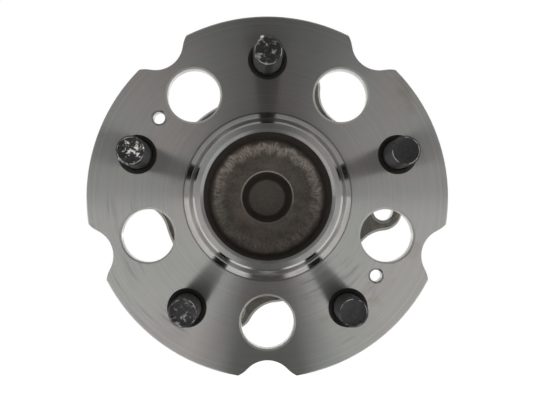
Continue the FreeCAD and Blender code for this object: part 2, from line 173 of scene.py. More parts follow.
def whiteToEye(tree):  # 1 where the camera, a reflection or glass looks straight at the background
    rays = addNode(tree, "LightPath").outputs
    first = addNode(tree, "Math", {0: rays["Is Camera Ray"], 1: rays["Is Glossy Ray"]}, operation="MAXIMUM")
    return addNode(tree, "Math", {0: first, 1: rays["Is Transmission Ray"]}, operation="MAXIMUM")


def addWorld():
    world = bpy.data.worlds.new("studio air")
    bpy.context.scene.world = world
    world.use_nodes = True
    tree = world.node_tree
    tree.nodes.clear()
    light = addNode(tree, "Background", {"Color": linear("#ffffff"), "Strength": studio["worldGrey"]})
    white = addNode(tree, "Background", {"Color": linear("#ffffff"), "Strength": 1.0})
    mix = addNode(tree, "MixShader", {0: whiteToEye(tree), 1: light, 2: white})
    addNode(tree, "OutputWorld", {0: mix})


def addFloor():
    half = studio["floorHalf"]
    height = cadBox[0][2] - studio["floorBelowRim"]
    floor = newPiece("floor", [(-half, -half, height), (half, -half, height), (half, half, height),
                               (-half, half, height)], [(0, 1, 2, 3)])
    material, tree, shader, place = newMaterial("pale paper sweep")
    setInputs(tree, shader, {"Base Color": linear(studio["floorColour"]), "Roughness": 0.9,
                             "Specular IOR Level": 0.1})
    glow = addNode(tree, "Emission", {"Color": linear("#ffffff"), "Strength": 1.0})
    away = addNode(tree, "VectorMath", {0: place}, operation="LENGTH").outputs["Value"]
    near, far = studio["whiteEnds"]
    paler = addNode(tree, "MapRange", {0: away, 1: near, 2: far, 3: studio["nearWhite"], 4: 1.0})
    share = addNode(tree, "Math", {0: whiteToEye(tree), 1: paler}, operation="MULTIPLY")
    showSurface(tree, addNode(tree, "MixShader", {0: share, 1: shader, 2: glow}))
    floor.data.materials.append(material)


def addLamps():
    for number, (place, watts) in enumerate(studio["lamps"], start=1):
        lamp = bpy.data.lights.new("soft_lamp_%d" % number, "AREA")
        lamp.shape = "SQUARE"
        lamp.size = studio["lampSize"]
        lamp.energy = watts
        piece = newObject("soft_lamp_%d" % number, lamp)
        piece.location = place
        piece.rotation_euler = (-Vector(place)).to_track_quat("-Z", "Y").to_euler()


# Grey cloth and cards that only reflections see, as a photographer hangs them round bright metal. The
# canopy arches over the axis and is darkest at its top, the strip lies in front on the floor.
cards = {
    "canopyRadius": 1.1, "canopyHalf": 1.5, "canopySteps": 36,
    "canopyGreys": ((0.0, 0.58), (0.2, 0.49), (0.5, 0.4), (0.75, 0.31), (0.93, 0.15),
                    (1.0, 0.12)),  # by height over distance from the axis
    "besideGrey": 0.44, "besideEnds": (-0.8, -0.4),  # the canopy is pale beside the object, white behind it
    "behindGrey": 1.0, "behindEnds": (0.5, 1.3),
    "cameraCard": 0.3, "cameraGrey": 0.012,
    "stripHalf": 0.055, "stripDark": 0.03, "stripEnds": (-0.03, -1.45), "stripReach": 0.5,
    "stripGreys": ((0.1, 0.08), (0.15, 0.27), (0.4, 0.27), (0.8, 0.05)),  # by distance over its reach
    "stripTaper": 1.8, "taperEnds": (-0.065, -0.11),  # narrower by the object, so the pilot keeps a glint
}


def addCard(name, vertices, faces, greyOf):  # greyOf builds the nodes that give the card's brightness
    piece = newPiece(name, vertices, faces)
    material, tree, shader, place = newMaterial("matt grey " + name)
    tree.nodes.remove(shader)
    parts = addNode(tree, "SeparateXYZ", {0: place}).outputs
    showSurface(tree, addNode(tree, "Emission", {"Strength": greyOf(tree, parts)}))
    piece.data.materials.append(material)
    for rays in ("camera", "diffuse", "transmission", "shadow"):
        setattr(piece, "visible_" + rays, False)


def canopyGrey(tree, place):  # by the direction round the axis, so every ring of the face sees the same
    flat = addNode(tree, "CombineXYZ", {"X": place["X"], "Z": place["Z"]})
    length = addNode(tree, "VectorMath", {0: flat}, operation="LENGTH").outputs["Value"]
    rise = addNode(tree, "Math", {0: place["Z"], 1: length}, operation="DIVIDE")
    grey = addNode(tree, "ValToRGB", {0: rise})
    setRamp(grey, cards["canopyGreys"])
    front, behind = cards["besideEnds"]
    beside = addNode(tree, "MapRange", {0: place["Y"], 1: front, 2: behind}, **softStep)
    near, far = cards["behindEnds"]
    past = addNode(tree, "MapRange", {0: place["Y"], 1: near, 2: far, 3: cards["besideGrey"],
                                      4: cards["behindGrey"]}, **softStep)
    return addNode(tree, "Mix", {0: beside, 2: grey, 3: past}, data_type="FLOAT")


def stripGrey(tree, place):
    off = addNode(tree, "Math", {0: place["X"]}, operation="ABSOLUTE")
    near, far = cards["taperEnds"]
    taper = addNode(tree, "MapRange", {0: place["Y"], 1: far, 2: near, 3: 1.0, 4: cards["stripTaper"]},
                    **softStep)
    off = addNode(tree, "Math", {0: off, 1: taper}, operation="MULTIPLY")
    out = addNode(tree, "Math", {0: place["Y"], 1: -1 / cards["stripReach"]}, operation="MULTIPLY")
    grey = addNode(tree, "ValToRGB", {0: out})
    setRamp(grey, cards["stripGreys"])
    return addNode(tree, "MapRange", {0: off, 1: cards["stripDark"], 2: cards["stripHalf"], 3: grey, 4: 1.0},
                   **softStep)


def flatGrey(tree, place):
    return cards["cameraGrey"]


def addCards():
    steps, radius, half = cards["canopySteps"], cards["canopyRadius"], cards["canopyHalf"]
    turns = [math.pi * i / steps for i in range(steps + 1)]
    vertices = [(radius * math.cos(a), y, radius * math.sin(a)) for y in (-half, half) for a in turns]
    vertices += [(0, -half, 0), (0, half, 0)]
    front, back = len(vertices) - 2, len(vertices) - 1
    faces = []
    for i in range(steps):
        faces.append((i, i + 1, steps + 2 + i, steps + 1 + i))
        faces.append((front, i, i + 1))
        faces.append((back, steps + 1 + i, steps + 2 + i))
    addCard("canopy", vertices, faces, canopyGrey)
    size = cards["cameraCard"]
    turns = [math.radians(a) for a in range(0, 360, 10)]
    disc = [(size * math.cos(turn), 20 * mm - half, size * math.sin(turn)) for turn in turns]
    addCard("camera_card", disc, [tuple(range(len(disc)))], flatGrey)
    across = cards["stripHalf"]
    height = cadBox[0][2] - studio["floorBelowRim"] + 2 * mm
    near, far = cards["stripEnds"]
    addCard("floor_strip", [(-across, far, height), (across, far, height), (across, near, height),
                            (-across, near, height)], [(0, 1, 2, 3)], stripGrey)


bpy.context.scene.view_settings.view_transform = "Standard"
addCamera()
addWorld()
addFloor()
addLamps()
addCards()
print("studio ready")


# ---- materials ----

def fromAxis(tree, place):  # the vector from the axis, its length and its unit direction
    flat = addNode(tree, "VectorMath", {0: place, 1: (1.0, 0.0, 1.0)}, operation="MULTIPLY")
    radius = addNode(tree, "VectorMath", {0: flat}, operation="LENGTH").outputs["Value"]
    return flat, radius, addNode(tree, "VectorMath", {0: flat}, operation="NORMALIZE")


def ringVector(tree, radius, out, roundIt, across):  # a noise vector that closes on itself round the axis
    spun = addNode(tree, "VectorMath", {0: out, "Scale": roundIt}, operation="SCALE")
    step = addNode(tree, "Math", {0: radius, 1: across}, operation="DIVIDE")
    along = addNode(tree, "CombineXYZ", {"Y": step})
    return addNode(tree, "VectorMath", {0: spun, 1: along}, operation="ADD")


# Forged carbon steel, its face turned on a lathe: fine rings round the axis, so a light spreads into a
# bright fan across them and studs throw dark bands. Handling leaves faint stains and scuffs.
turnedLook = {
    "greenish": "#babcb7", "steel": "#bebdba", "pinkish": "#c0bbb8", "patch": 30 * mm,
    "roughness": 0.33, "stretch": 1.0,
    "lean": 0.12,            # the tool leaves the long side of each groove facing outwards
    "ringPitch": 0.8 * mm,   # real feed marks are 0.2 mm, drawn coarser so that they show
    "ringDepth": 0.007 * mm, "ringDark": 0.94, "bandPitch": 5 * mm,
    "stain": "#a09b88", "stainSize": 16 * mm,
    "scuffPitch": 1.3 * mm, "scuffRound": 3.5, "scuffDark": 0.95, "handled": 22 * mm,
}

# The pilot that centres the wheel is finished with a finer feed, so its chamfers mirror the studs
pilotLook = {
    **turnedLook, "greenish": "#bcbeba", "steel": "#c1c0bd", "pinkish": "#c3bebb", "patch": 24 * mm,
    "roughness": 0.15, "stretch": 0.7, "lean": 0.0,
    "ringPitch": 0.55 * mm, "ringDark": 0.86, "bandPitch": 1.6 * mm, "scuffDark": 0.94,
}


def turnedSteel(name, look):
    material, tree, shader, place = newMaterial(name)
    flat, radius, out = fromAxis(tree, place)
    step = addNode(tree, "Math", {0: radius, 1: 1 / look["ringPitch"]}, operation="MULTIPLY")
    rings = addNode(tree, "TexNoise", {"W": step, "Detail": 4.0, "Roughness": 0.75}, noise_dimensions="1D")
    wide = addNode(tree, "Math", {0: radius, 1: 1 / look["bandPitch"]}, operation="MULTIPLY")
    bands = addNode(tree, "TexNoise", {"W": wide, "Detail": 2.0}, noise_dimensions="1D")
    patches = addNode(tree, "TexNoise", {"Vector": place, "Scale": 1 / look["patch"], "Detail": 3.0})
    tint = addNode(tree, "ValToRGB", {0: patches})
    setRamp(tint, ((0.34, look["greenish"]), (0.5, look["steel"]), (0.66, look["pinkish"])))
    spots = addNode(tree, "TexNoise", {"Vector": place, "Scale": 1 / look["stainSize"], "Detail": 5.0,
                                       "Roughness": 0.6})
    stained = addNode(tree, "MapRange", {0: spots, 1: 0.6, 2: 0.74, 4: 0.45})
    base = addNode(tree, "Mix", {0: stained, 6: tint, 7: linear(look["stain"])}, data_type="RGBA")
    around = ringVector(tree, radius, out, look["scuffRound"], look["scuffPitch"])
    scuffs = addNode(tree, "TexNoise", {"Vector": around, "Scale": 1.0, "Detail": 3.0})
    handled = addNode(tree, "TexNoise", {"Vector": place, "Scale": 1 / look["handled"], "Detail": 1.0})
    where = addNode(tree, "MapRange", {0: handled, 1: 0.48, 2: 0.62})
    streak = addNode(tree, "MapRange", {0: scuffs, 1: 0.52, 2: 0.66})
    scuffed = addNode(tree, "Math", {0: where, 1: streak}, operation="MULTIPLY")
    colour = base.outputs[2]
    for source, *ends in ((rings, 0.25, 0.75, look["ringDark"], 1.04), (bands, 0.3, 0.7, 0.95, 1.04),
                          (scuffed, 0.0, 1.0, 1.0, look["scuffDark"])):
        shade = addNode(tree, "MapRange", dict(enumerate([source] + ends)))
        colour = addNode(tree, "Mix", {0: 1.0, 6: colour, 7: shade}, data_type="RGBA",
                         blend_type="MULTIPLY").outputs[2]
    rough = addNode(tree, "MapRange", {0: rings, 1: 0.3, 2: 0.7, 3: look["roughness"] - 0.04,
                                       4: look["roughness"] + 0.05})
    rough = addNode(tree, "Math", {0: scuffed, 1: 0.1, 2: rough}, operation="MULTIPLY_ADD")
    bump = addNode(tree, "Bump", {"Height": rings, "Distance": look["ringDepth"], "Strength": 1.0})
    cross = addNode(tree, "VectorMath", {0: (0.0, 1.0, 0.0), 1: flat}, operation="CROSS_PRODUCT")
    along, outwards = [addNode(tree, "VectorTransform", {0: way}, vector_type="VECTOR", convert_from="OBJECT",
                               convert_to="WORLD") for way in (cross, out)]
    facing = addNode(tree, "SeparateXYZ", {0: addNode(tree, "TexCoord").outputs["Normal"]}).outputs["Y"]
    faced = addNode(tree, "Math", {0: facing}, operation="ABSOLUTE")
    lean = addNode(tree, "MapRange", {0: faced, 1: 0.9, 2: 0.99, 4: look["lean"]})  # on flat faces only
    tilt = addNode(tree, "VectorMath", {0: outwards, "Scale": lean}, operation="SCALE")
    leaned = addNode(tree, "VectorMath", {0: bump, 1: tilt}, operation="ADD")
    setInputs(tree, shader, {"Base Color": colour, "Roughness": rough, "Tangent": along, "Metallic": 1.0,
                             "Normal": addNode(tree, "VectorMath", {0: leaned}, operation="NORMALIZE"),
                             "Anisotropic": look["stretch"], "Anisotropic Rotation": 0.25})
    return material


# Hot-forged steel left as it came: dull brown-grey scale in patches over a fine pitted skin
forgedLook = {
    "dark": "#56534d", "scale": "#747169", "rust": "#817b73", "green": "#6b6b66", "roughness": 0.52,
    "patch": 3.5 * mm, "drift": 34 * mm, "grain": 0.7 * mm, "grainDepth": 0.11 * mm,
}
# In the recess, pale is a painted highlight on the burnished strokes and the lip, stronger on the upper side,
# and also makes the pocket paler towards its floor; hollow and wall are painted shade.
recessLook = {
    **forgedLook, "dark": "#4a433d", "scale": "#5f564e", "rust": "#70625a", "green": "#52514a",
    "patch": 4 * mm, "grainDepth": 0.09 * mm,
    "pale": "#aca198", "hollow": "#25211d", "lip": "#b3aba2", "wall": "#292520",
    "strokes": 34.0, "strokeLength": 2.4 * mm, "lowerShare": 0.22,
    "raggedRound": 9.0, "raggedLength": 40 * mm, "ragged": 5 * mm,
    "band": (20.2 * mm, 22.6 * mm, 24.6 * mm, 26.0 * mm),  # the strokes fade in and out at these radii
    "lipRadius": 10.85 * mm, "lipWidth": (0.1 * mm, 0.5 * mm), "lipBelow": -37 * mm,
    "wallEnds": (23.2 * mm, 24.4 * mm), "pocketEnds": (-24 * mm, -18.5 * mm),
}


def dieMarksAndPaintedLight(tree, place, colour, look):  # strokes burnished by the die with painted highlights and painted shade, a painted highlight on the lip, painted shade on the wall
    radius, out = fromAxis(tree, place)[1:]
    height = addNode(tree, "SeparateXYZ", {0: place}).outputs["Y"]
    rise = addNode(tree, "SeparateXYZ", {0: out}).outputs["Z"]
    # painted highlight: the strokes and the lip are lighter on the upper side, where the fillet faces down to
    # the light from below
    upperSideLight = addNode(tree, "MapRange", {0: rise, 1: -0.6, 2: 0.6, 3: look["lowerShare"], 4: 1.0})
    strokes = ringVector(tree, radius, out, look["strokes"], look["strokeLength"])
    marks = addNode(tree, "TexNoise", {"Vector": strokes, "Scale": 1.0, "Detail": 3.0, "Roughness": 0.7,
                                       "Distortion": 0.5})
    coarse = ringVector(tree, radius, out, look["raggedRound"], look["raggedLength"])
    ragged = addNode(tree, "TexNoise", {"Vector": coarse, "Scale": 1.0, "Detail": 4.0})
    edge = addNode(tree, "Math", {0: ragged, 1: look["ragged"], 2: radius}, operation="MULTIPLY_ADD")
    first, full, last, gone = look["band"]
    begins = addNode(tree, "MapRange", {0: edge, 1: first, 2: full}, **softStep)
    ends = addNode(tree, "MapRange", {0: edge, 1: last, 2: gone, 3: 1.0, 4: 0.0}, **softStep)
    band = addNode(tree, "Math", {0: begins, 1: ends}, operation="MULTIPLY")
    # the pale strokes are burnished die marks with a painted highlight on them
    pale = addNode(tree, "MapRange", {0: marks, 1: 0.42, 2: 0.66, 3: 0.3, 4: 1.0})
    for factor in (band, upperSideLight):
        pale = addNode(tree, "Math", {0: pale, 1: factor}, operation="MULTIPLY")
    # painted shade in the hollows between the strokes
    hollow = addNode(tree, "MapRange", {0: marks, 1: 0.47, 2: 0.36, 4: 0.7})
    hollowShade = addNode(tree, "Math", {0: hollow, 1: band}, operation="MULTIPLY")
    # painted highlight along the rounded lip of the pocket, on its upper side
    fromLip = addNode(tree, "Math", {0: radius, 1: look["lipRadius"]}, operation="SUBTRACT")
    fromLip = addNode(tree, "Math", {0: fromLip}, operation="ABSOLUTE")
    first, last = look["lipWidth"]
    lipHighlight = addNode(tree, "MapRange", {0: fromLip, 1: first, 2: last, 3: 0.8, 4: 0.0})
    shallow = addNode(tree, "Math", {0: height, 1: look["lipBelow"]}, operation="LESS_THAN")
    for factor in (shallow, upperSideLight):
        lipHighlight = addNode(tree, "Math", {0: lipHighlight, 1: factor}, operation="MULTIPLY")
    # painted shade on the steep wall of the recess
    first, last = look["wallEnds"]
    wallShade = addNode(tree, "MapRange", {0: radius, 1: first, 2: last, 4: 0.75})
    first, last = look["pocketEnds"]
    deep = addNode(tree, "MapRange", {0: height, 1: first, 2: last, 4: 0.3})
    for share, shade in ((hollowShade, "hollow"), (pale, "pale"), (lipHighlight, "lip"), (wallShade, "wall"),
                         (deep, "pale")):
        mixed = addNode(tree, "Mix", {0: share, 6: colour, 7: linear(look[shade])}, data_type="RGBA")
        colour = mixed.outputs[2]
    return colour


def forgedScale(name, look, marked=False):
    material, tree, shader, place = newMaterial(name)
    mottle = addNode(tree, "TexNoise", {"Vector": place, "Scale": 1 / look["patch"], "Detail": 6.0,
                                        "Roughness": 0.6})
    brown = addNode(tree, "ValToRGB", {0: mottle})
    setRamp(brown, ((0.32, look["dark"]), (0.5, look["scale"]), (0.68, look["rust"])))
    drift = addNode(tree, "TexNoise", {"Vector": place, "Scale": 1 / look["drift"], "Detail": 2.0})
    greenish = addNode(tree, "MapRange", {0: drift, 1: 0.44, 2: 0.62, 4: 0.5})
    mixed = addNode(tree, "Mix", {0: greenish, 6: brown, 7: linear(look["green"])}, data_type="RGBA")
    colour = dieMarksAndPaintedLight(tree, place, mixed.outputs[2], look) if marked else mixed.outputs[2]
    grain = addNode(tree, "TexNoise", {"Vector": place, "Scale": 1 / look["grain"], "Detail": 4.0,
                                       "Roughness": 0.65})
    speckle = addNode(tree, "MapRange", {0: grain, 1: 0.3, 2: 0.7, 3: 0.72, 4: 1.25})
    colour = addNode(tree, "Mix", {0: 1.0, 6: colour, 7: speckle}, data_type="RGBA", blend_type="MULTIPLY")
    rough = addNode(tree, "MapRange", {0: mottle, 1: 0.3, 2: 0.7, 3: look["roughness"] - 0.1,
                                       4: look["roughness"] + 0.1})
    bump = addNode(tree, "Bump", {"Height": grain, "Distance": look["grainDepth"], "Strength": 1.0})
    setInputs(tree, shader, {"Base Color": colour.outputs[2], "Roughness": rough, "Normal": bump,
                             "Metallic": 0.35})
    return material


# Bored, turned or ground steel: tool marks that lie across the axis, seen as fine lines in the sheen. Round
# pieces on the axis have them as rings on their flat faces too.
oilFilm = 14 * mm


def cutSteel(name, colour, roughness, pitch, depth, coaxial=True):
    material, tree, shader, place = newMaterial(name)
    height = addNode(tree, "SeparateXYZ", {0: place}).outputs["Y"]
    run = addNode(tree, "Math", {0: fromAxis(tree, place)[1], 1: 1.0 if coaxial else 0.0, 2: height},
                  operation="MULTIPLY_ADD")
    step = addNode(tree, "Math", {0: run, 1: 1 / pitch}, operation="MULTIPLY")
    marks = addNode(tree, "TexNoise", {"W": step, "Detail": 3.0}, noise_dimensions="1D")
    film = addNode(tree, "TexNoise", {"Vector": place, "Scale": 1 / oilFilm, "Detail": 2.0})
    tone = linear(colour)
    for source, dark, pale in ((film, 0.95, 1.03), (marks, 0.9, 1.05)):
        shade = addNode(tree, "MapRange", {0: source, 1: 0.3, 2: 0.7, 3: dark, 4: pale})
        tone = addNode(tree, "Mix", {0: 1.0, 6: tone, 7: shade}, data_type="RGBA",
                       blend_type="MULTIPLY").outputs[2]
    rough = addNode(tree, "MapRange", {0: marks, 1: 0.3, 2: 0.7, 3: roughness * 0.85, 4: roughness * 1.2})
    bump = addNode(tree, "Bump", {"Height": marks, "Distance": depth, "Strength": 1.0})
    setInputs(tree, shader, {"Base Color": tone, "Roughness": rough, "Normal": bump, "Metallic": 1.0})
    return material


# Zinc phosphate, black with oil: a soft crystalline coat, shiny when seen flat on. Where a hammer or a nut
# has been, bare steel shows at the point's rim and in scratches. Peened steel scatters like pale paint.
phosphateLook = {
    "dark": "#1f1f1f", "grey": "#313031", "crystal": 0.9 * mm, "crystalDepth": 0.03 * mm,
    "roughness": 0.2, "specular": 0.42,
    "bare": "#dddbd7", "bareRoughness": 0.45, "bareMetal": 0.4,
    "bareEnds": (0.9 * mm, 0.3 * mm),  # it starts and is full at these heights from the tip
    "rimWidth": 0.16 * mm, "rimPatch": 3.2 * mm, "scratch": 2.6 * mm, "flake": 0.7 * mm, "blows": 6.3,
}


def blackPhosphate(look):
    material, tree, shader, place = newMaterial("black zinc phosphate")
    crystals = addNode(tree, "TexNoise", {"Vector": place, "Scale": 1 / look["crystal"], "Detail": 4.0,
                                          "Roughness": 0.7})
    coat = addNode(tree, "ValToRGB", {0: crystals})
    setRamp(coat, ((0.35, look["dark"]), (0.7, look["grey"])))
    worn, reach, burr = [addNode(tree, "Attribute", attribute_name=name, attribute_type="GEOMETRY")
                         .outputs["Fac"] for name in ("worn", "fromAxis", "burr")]
    height = addNode(tree, "SeparateXYZ", {0: place}).outputs["Y"]
    far, near = look["bareEnds"]
    atTip = addNode(tree, "MapRange", {0: height, 1: studs["tip"] + far, 2: studs["tip"] + near})
    off = addNode(tree, "Math", {0: reach, 1: studs["tipRadius"]}, operation="SUBTRACT")
    off = addNode(tree, "Math", {0: off}, operation="ABSOLUTE")
    onRim = addNode(tree, "MapRange", {0: off, 1: 0.0, 2: look["rimWidth"], 3: 1.0, 4: 0.0})
    patch = addNode(tree, "TexNoise", {"Vector": place, "Scale": 1 / look["rimPatch"], "Detail": 2.0})
    broken = addNode(tree, "MapRange", {0: patch, 1: 0.46, 2: 0.6, 4: 0.75})
    rimBare = addNode(tree, "Math", {0: onRim, 1: broken}, operation="MULTIPLY")
    dents = addNode(tree, "TexNoise", {"Vector": place, "W": look["blows"], "Scale": 1 / look["scratch"],
                                       "Detail": 4.0, "Roughness": 0.6, "Distortion": 0.6},
                    noise_dimensions="4D")
    struck = addNode(tree, "MapRange", {0: dents, 1: 0.58, 2: 0.62})
    beside = addNode(tree, "MapRange", {0: dents, 1: 0.5, 2: 0.56, 4: 0.8})
    flakes = addNode(tree, "TexNoise", {"Vector": place, "Scale": 1 / look["flake"], "Detail": 2.0})
    torn = addNode(tree, "MapRange", {0: burr, 1: 0.3, 2: 0.6})
    bare = addNode(tree, "MapRange", {0: flakes, 1: 0.56, 2: 0.62})
    for operation, other in (("MULTIPLY", beside), ("MAXIMUM", struck), ("MULTIPLY", worn),
                             ("MAXIMUM", rimBare), ("MULTIPLY", atTip), ("MAXIMUM", torn)):
        bare = addNode(tree, "Math", {0: bare, 1: other}, operation=operation)
    colour = addNode(tree, "Mix", {0: bare, 6: coat, 7: linear(look["bare"])}, data_type="RGBA")
    metal = addNode(tree, "Math", {0: bare, 1: look["bareMetal"]}, operation="MULTIPLY")
    rough = addNode(tree, "MapRange", {0: bare, 3: look["roughness"], 4: look["bareRoughness"]})
    bump = addNode(tree, "Bump", {"Height": crystals, "Distance": look["crystalDepth"], "Strength": 1.0})
    setInputs(tree, shader, {"Base Color": colour.outputs[2], "Metallic": metal, "Roughness": rough,
                             "Normal": bump, "Specular IOR Level": look["specular"]})
    return material


# Moulded rubber and nylon: matt and even, with a faint skin
skinDepth = 0.02 * mm


def mouldedPolymer(name, colour, paler, roughness, grain):
    material, tree, shader, place = newMaterial(name)
    skin = addNode(tree, "TexNoise", {"Vector": place, "Scale": 1 / grain, "Detail": 3.0})
    tone = addNode(tree, "ValToRGB", {0: skin})
    setRamp(tone, ((0.3, colour), (0.75, paler)))
    bump = addNode(tree, "Bump", {"Height": skin, "Distance": skinDepth, "Strength": 1.0})
    setInputs(tree, shader, {"Base Color": tone, "Normal": bump, "Roughness": roughness})
    return material


turned = turnedSteel("forged steel turned bright", turnedLook)
pilotTurned = turnedSteel("forged steel fine turned", pilotLook)
forged = forgedScale("hot forged scale", forgedLook)
# the recess: forged scale with die marks, painted highlights and painted shade
dieForgedPaintedLight = forgedScale("hot forged scale with die marks", recessLook, marked=True)
bored = cutSteel("bored and milled steel", "#c2c0bb", 0.3, 0.5 * mm, 0.01 * mm, coaxial=False)
chamfered = cutSteel("countersunk steel edge", "#cfcdca", 0.55, 0.3 * mm, 0.01 * mm, coaxial=False)
ringTurned = cutSteel("turned bearing steel", "#aeaca7", 0.32, 0.8 * mm, 0.01 * mm)
ground = cutSteel("ground bearing steel", "#c3c3c1", 0.2, 0.15 * mm, 0.002 * mm)
pressed = cutSteel("pressed zinc coated steel", "#b2b3b0", 0.38, 1.2 * mm, 0.004 * mm)
drawnCap = cutSteel("deep drawn stainless steel", "#b4b3af", 0.3, 1.4 * mm, 0.006 * mm)
nitrile = mouldedPolymer("nitrile seal rubber", "#161617", "#242425", 0.62, 0.8 * mm)
ferriteRubber = mouldedPolymer("ferrite filled rubber", "#221f1e", "#302c2a", 0.5, 0.5 * mm)
nylon = mouldedPolymer("glass filled nylon", "#22302c", "#33443f", 0.45, 0.6 * mm)
print("materials ready")


# ---- geometry nodes ----

def newTree(name, kinds, *numbers):  # a node group with a mesh in and out, and its inputs by name
    tree = bpy.data.node_groups.new(name, "GeometryNodeTree")
    for item, kind in ({"Geometry": "Geometry"} | kinds | dict.fromkeys(numbers, "Float")).items():
        tree.interface.new_socket(name=item, in_out="INPUT", socket_type="NodeSocket" + kind)
    tree.interface.new_socket(name="Geometry", in_out="OUTPUT", socket_type="NodeSocketGeometry")
    return tree, {socket.name: socket for socket in tree.nodes.new("NodeGroupInput").outputs}


def applyTree(piece, tree, values):  # runs the tree and leaves a plain mesh, input "Dent Size" is "dentSize"
    modifier = piece.modifiers.new("nodes", "NODES")
    modifier.node_group = tree
    for item in tree.interface.items_tree:
        key = item.name[0].lower() + item.name[1:].replace(" ", "")
        if item.in_out == "INPUT" and key in values:
            modifier[item.identifier] = values[key]
    bpy.context.view_layer.update()
    finished = bpy.data.meshes.new_from_object(piece.evaluated_get(bpy.context.evaluated_depsgraph_get()))
    finished.name = piece.name
    piece.modifiers.remove(modifier)
    piece.data = finished


def closeUp(piece, sharpAngle):  # merges doubles, turns faces outwards, keeps only real edges sharp
    shape = bmesh.new()
    shape.from_mesh(piece.data)
    bmesh.ops.remove_doubles(shape, verts=shape.verts, dist=1e-7)
    bmesh.ops.dissolve_degenerate(shape, edges=shape.edges, dist=1e-7)
    bmesh.ops.recalc_face_normals(shape, faces=shape.faces)
    for edge in shape.edges:
        edge.smooth = len(edge.link_faces) == 2 and edge.calc_face_angle() < math.radians(sharpAngle)
    for face in shape.faces:
        face.smooth = True
    shape.to_mesh(piece.data)
    shape.free()


# ---- wheel studs ----

studs = {
    "count": 5, "circle": 57.15 * mm, "firstAngle": math.radians(90),
    "sides": 60,
    "head": ((-31.5, 0.0), (-31.5, 8.7), (-31.62, 9.1), (-31.9, 9.38), (-32.3, 9.5), (-35.8, 9.5),
             (-36.0, 9.3)),   # height and radius in mm
    "neckRadius": 6.35 * mm, "neckCut": 0.25 * mm, "neckStart": -36.0 * mm,
    "neckRows": (-36.4 * mm, -45.3 * mm),
    "radius": 6.0 * mm, "shankStart": -45.8 * mm, "threadStart": -49.0 * mm,
    "pitch": 1.5 * mm, "threadDepth": 0.92 * mm, "runIn": 0.6, "runOut": 1.3,  # of a pitch
    "tip": -78.0 * mm, "tipRadius": 5.3 * mm, "tipLength": 0.8 * mm, "tipRings": 12,
    "tipDish": 0.12 * mm,     # the point is left a little hollow by the roll
    "dent": 0.16 * mm, "dentSize": 2.2 * mm, "dentReach": 0.5 * mm, "seed": 3.0,
    "burrAngle": 114.0, "burrSize": 1.7 * mm, "burrHeight": 0.95 * mm,  # one blow raised an edge on the first
    "burrIn": 0.2 * mm, "burrDown": 0.9 * mm,
}
threadForm = ((1 / 16, 0.0), (6 / 16, 0.93), (8 / 16, 1.0), (10 / 16, 0.93), (15 / 16, 0.0))  # place, depth


def studMesh():  # one stud about its own axis: turned rows, then a sheared grid that follows the helix
    sides = studs["sides"]
    angles = [-2 * math.pi * i / sides for i in range(sides)]
    vertices = []
    faces = []

    def addRow(radii, height):
        row = range(len(vertices), len(vertices) + sides)
        vertices.extend((r * math.cos(a), height, r * math.sin(a)) for r, a in zip(radii, angles))
        return row

    def joinRows(first, second):
        for i in range(sides):
            k = (i + 1) % sides
            faces.append((first[i], first[k], second[k], second[i]))

    rows = [addRow([r * mm] * sides, y * mm) for y, r in studs["head"]]
    serrated = [studs["neckRadius"] - studs["neckCut"] * (i % 2) for i in range(sides)]  # to grip the flange
    rows.append(addRow([studs["neckRadius"] - studs["neckCut"]] * sides, studs["neckStart"]))
    rows += [addRow(serrated, height) for height in studs["neckRows"]]
    rows += [addRow([studs["radius"]] * sides, studs[key]) for key in ("shankStart", "threadStart")]
    for first, second in zip(rows, rows[1:]):
        joinRows(first, second)

    tip, start, pitch, tipRadius = studs["tip"], studs["threadStart"], studs["pitch"], studs["tipRadius"]
    perTurn = len(threadForm)
    count = perTurn * (math.ceil((start - tip) / pitch) + 3)
    base = len(vertices)
    for i, angle in enumerate(angles):
        for j in range(count):
            along, depth = threadForm[j % perTurn]
            y = tip + pitch * (j // perTurn - 2 + along + i / sides)
            y = min(max(y, tip), start)
            fade = min(1.0, (start - y) / (studs["runOut"] * pitch), (y - tip) / (studs["runIn"] * pitch))
            cone = tipRadius + (y - tip) / studs["tipLength"] * (studs["radius"] - tipRadius)
            r = min(studs["radius"] - studs["threadDepth"] * depth * fade, cone)
            vertices.append((r * math.cos(angle), y, r * math.sin(angle)))

    def grid(i, j):
        return base + i * count + j if i < sides else base + min(j + perTurn, count - 1)

    for i in range(sides):
        for j in range(count - 1):
            faces.append((grid(i, j), grid(i + 1, j), grid(i + 1, j + 1), grid(i, j + 1)))

    rings = studs["tipRings"]
    last = addRow([tipRadius] * sides, tip)
    for k in range(1, rings):
        share = 1 - k / rings
        row = addRow([tipRadius * share] * sides, tip + studs["tipDish"] * (1 - share ** 4))
        joinRows(last, row)
        last = row
    vertices.append((0, tip + studs["tipDish"], 0))
    for i in range(sides):
        faces.append((last[i], last[(i + 1) % sides], len(vertices) - 1))
    return vertices, faces


